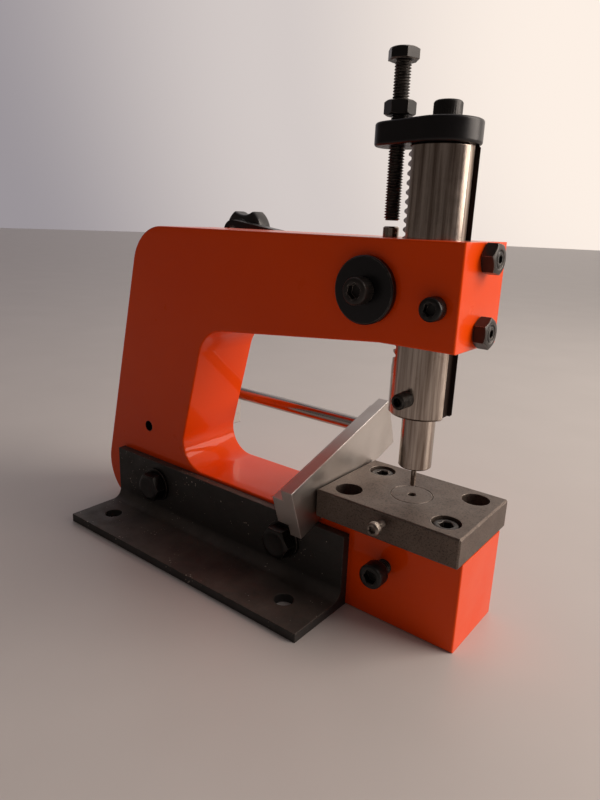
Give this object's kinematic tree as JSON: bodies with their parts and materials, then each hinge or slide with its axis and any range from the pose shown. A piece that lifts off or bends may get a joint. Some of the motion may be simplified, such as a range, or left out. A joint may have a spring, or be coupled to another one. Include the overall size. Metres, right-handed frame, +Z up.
{
  "type": "lever hole punch",
  "caption": "Bench-top lever punch: C-shaped painted frame, rack-driven ram with depth stop and needle punch, die plate, tilting fence on a guide rod and a side mounting bracket.",
  "frame": {"origin": "foot of the ram's axis, at the mouth of the slug hole in the standing surface", "axes": "+Z up along the ram, +X towards the front of the press, -Y towards the mounting bracket"},
  "size_m": [0.2106, 0.103, 0.2134],
  "materials": {
    "frame_paint": "glossy orange enamel",
    "bracket_black": "matt black coating",
    "black_oxide": "oiled black oxide",
    "worn_black_oxide": "black oxide worn bright at the edges",
    "satin_black": "satin black oxide",
    "ground_steel": "ground bright",
    "bright_screw": "zinc plated",
    "burnished_steel": "burnished, worn at the edges",
    "milled_aluminium": "milled",
    "bronze": "sintered bronze",
    "black_plastic": "moulded"
  },
  "bodies": {
    "frame": {"c_frame": "frame_paint", "mounting_bracket": "bracket_black", "bracket_bolts": "black_oxide", "bracket_washers": "black_oxide", "ram_gib": "ground_steel", "gib_set_screws": "black_oxide", "gib_lock_nuts": "worn_black_oxide", "arm_side_screw": "black_oxide", "stop_pin": "ground_steel", "pinion_bushes": "bronze", "die_plate": "burnished_steel", "die_button": "burnished_steel", "die_plate_screws": "black_oxide", "die_clamp_screw": "bright_screw", "block_side_screw": "black_oxide", "rod_holder": "milled_aluminium", "holder_screw": "black_oxide", "rod_clamp_screw": "black_oxide"},
    "ram": {"ram": "ground_steel", "ram_cap": "satin_black", "ram_cap_screw": "black_oxide", "punch_holder": "ground_steel", "punch": "ground_steel", "ram_set_screw": "black_oxide"},
    "depth_stop": {"depth_stop_bolt": "black_oxide", "depth_lock_nut": "worn_black_oxide"},
    "lever": {"pinion_shaft": "ground_steel", "retaining_disc": "satin_black", "retaining_screw": "worn_black_oxide", "lever_hub": "satin_black", "hub_pin": "ground_steel", "lever_arm": "satin_black", "lever_screw": "black_oxide", "knob_stud": "ground_steel"},
    "knob": {"star_knob": "black_plastic"},
    "rod": {"guide_rod": "ground_steel"},
    "fence": {"fence_bar": "milled_aluminium", "fence_grub_screw": "black_oxide"}
  },
  "joints": [
    {"name": "lever_turn", "type": "hinge", "parent": "frame", "child": "lever", "pos_m": [-0.0163, 0, 0.131], "axis": [0, 1, 0], "range_deg": [-21.5, 14.3]},
    {"name": "ram_slide", "type": "slide", "parent": "frame", "child": "ram", "axis": [0, 0, -1], "range_m": [-0.003, 0.002]},
    {"name": "stop_adjust", "type": "slide", "parent": "ram", "child": "depth_stop", "axis": [0, 0, 1], "range_m": [0, 0.015]},
    {"name": "knob_spin", "type": "hinge", "parent": "lever", "child": "knob", "pos_m": [-0.13467, 0.045, 0.14743], "axis": [0, 1, 0], "continuous": true},
    {"name": "fence_slide", "type": "slide", "parent": "frame", "child": "rod", "axis": [-1, 0, 0], "range_m": [0, 0.05]},
    {"name": "fence_tilt", "type": "hinge", "parent": "rod", "child": "fence", "pos_m": [-0.04, 0.0275, 0.0622], "axis": [-1, 0, 0], "range_deg": [0, 50]}
  ],
  "couplings": [
    {"joint": "ram_slide", "follows": "lever_turn", "m_per_rad": 0.008}
  ]
}
